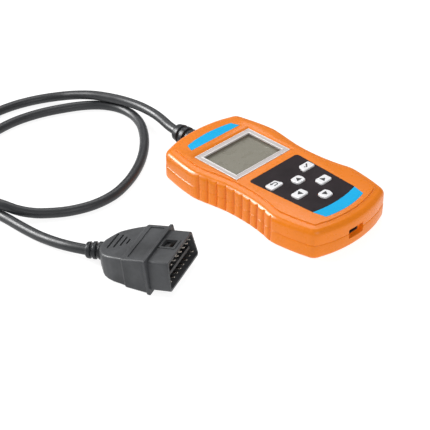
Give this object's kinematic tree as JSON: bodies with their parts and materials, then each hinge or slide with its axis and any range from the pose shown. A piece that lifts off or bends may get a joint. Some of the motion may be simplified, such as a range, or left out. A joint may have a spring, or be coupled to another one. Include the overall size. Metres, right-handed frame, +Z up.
{
  "type": "obd code reader",
  "caption": "Hand-held vehicle fault code reader with a waisted orange case, small display, six keys, and a coiled lead to a D-shaped diagnostic plug.",
  "frame": {"origin": "centre of the reader case's footprint, on the plane it lies on", "axes": "+Y from the keypad end to the lead end of the case, +Z up out of the display, +X to the right of a user facing the display"},
  "size_m": [0.1696, 0.2562, 0.021],
  "materials": {
    "orange_shell": "semi-gloss moulded orange plastic",
    "orange_rear_shell": "semi-gloss moulded orange plastic",
    "silver_frame": "satin silver-white paint",
    "clear_window": "clear flat window",
    "lcd_glass": "grey-green reflective display, switched off",
    "white_moulding": "plain white moulding",
    "black_label": "printed film, satin",
    "blue_print": "printed film, satin",
    "white_key": "smooth white with dark printed symbols",
    "blank_label": "blank coated label",
    "circuit_board": "green solder mask",
    "chip_package": "moulded black package",
    "switch_plastic": "moulded black",
    "plated_steel": "bright plated sheet",
    "screw_steel": "plated",
    "pin_metal": "nickel-plated contacts",
    "lead_rubber": "smooth semi-gloss jacket",
    "gland_rubber": "moulded rubber, satin",
    "plug_overmould": "fine-grained moulded surface",
    "shroud_plastic": "fine-grained moulded surface",
    "carrier_plastic": "black moulding"
  },
  "bodies": {
    "reader": {"front_housing": "orange_shell", "rear_housing": "orange_rear_shell", "display_frame": "silver_frame", "display_window": "clear_window", "lcd_panel": "lcd_glass", "lcd_holder": "white_moulding", "keypad_overlay": "black_label", "lower_blue_band": "blue_print", "upper_blue_band": "blue_print", "rear_label": "blank_label", "main_board": "circuit_board", "processor_chip": "chip_package", "bus_transceiver_chip": "chip_package", "voltage_regulator": "chip_package", "clock_crystal": "plated_steel", "lead_header": "white_moulding", "usb_socket_shell": "plated_steel", "usb_contact_tongue": "chip_package", "cable_gland": "gland_rubber", "inner_lead_bundle": "lead_rubber", "plug_housing": "plug_overmould", "plug_shroud": "shroud_plastic", "pin_carrier": "carrier_plastic", "plug_strain_relief": "gland_rubber", "obd_lead": "lead_rubber", "case_screw_1": "screw_steel", "case_screw_2": "screw_steel", "case_screw_3": "screw_steel", "case_screw_4": "screw_steel", "back_switch": "switch_plastic", "confirm_switch": "switch_plastic", "up_switch": "switch_plastic", "left_switch": "switch_plastic", "right_switch": "switch_plastic", "down_switch": "switch_plastic", "pin_01": "pin_metal", "pin_02": "pin_metal", "pin_03": "pin_metal", "pin_04": "pin_metal", "pin_05": "pin_metal", "pin_06": "pin_metal", "pin_07": "pin_metal", "pin_08": "pin_metal", "pin_09": "pin_metal", "pin_10": "pin_metal", "pin_11": "pin_metal", "pin_12": "pin_metal", "pin_13": "pin_metal", "pin_14": "pin_metal", "pin_15": "pin_metal", "pin_16": "pin_metal"},
    "back_key": {"back_key": "white_key"},
    "confirm_key": {"confirm_key": "white_key"},
    "up_key": {"up_key": "white_key"},
    "left_key": {"left_key": "white_key"},
    "right_key": {"right_key": "white_key"},
    "down_key": {"down_key": "white_key"}
  },
  "joints": [
    {"name": "back_press", "type": "slide", "parent": "reader", "child": "back_key", "axis": [0, 0, -1], "range_m": [0, 0.0005], "stiffness_N_per_m": 2000},
    {"name": "confirm_press", "type": "slide", "parent": "reader", "child": "confirm_key", "axis": [0, 0, -1], "range_m": [0, 0.0005], "stiffness_N_per_m": 2000},
    {"name": "up_press", "type": "slide", "parent": "reader", "child": "up_key", "axis": [0, 0, -1], "range_m": [0, 0.0005], "stiffness_N_per_m": 2000},
    {"name": "left_press", "type": "slide", "parent": "reader", "child": "left_key", "axis": [0, 0, -1], "range_m": [0, 0.0005], "stiffness_N_per_m": 2000},
    {"name": "right_press", "type": "slide", "parent": "reader", "child": "right_key", "axis": [0, 0, -1], "range_m": [0, 0.0005], "stiffness_N_per_m": 2000},
    {"name": "down_press", "type": "slide", "parent": "reader", "child": "down_key", "axis": [0, 0, -1], "range_m": [0, 0.0005], "stiffness_N_per_m": 2000}
  ]
}
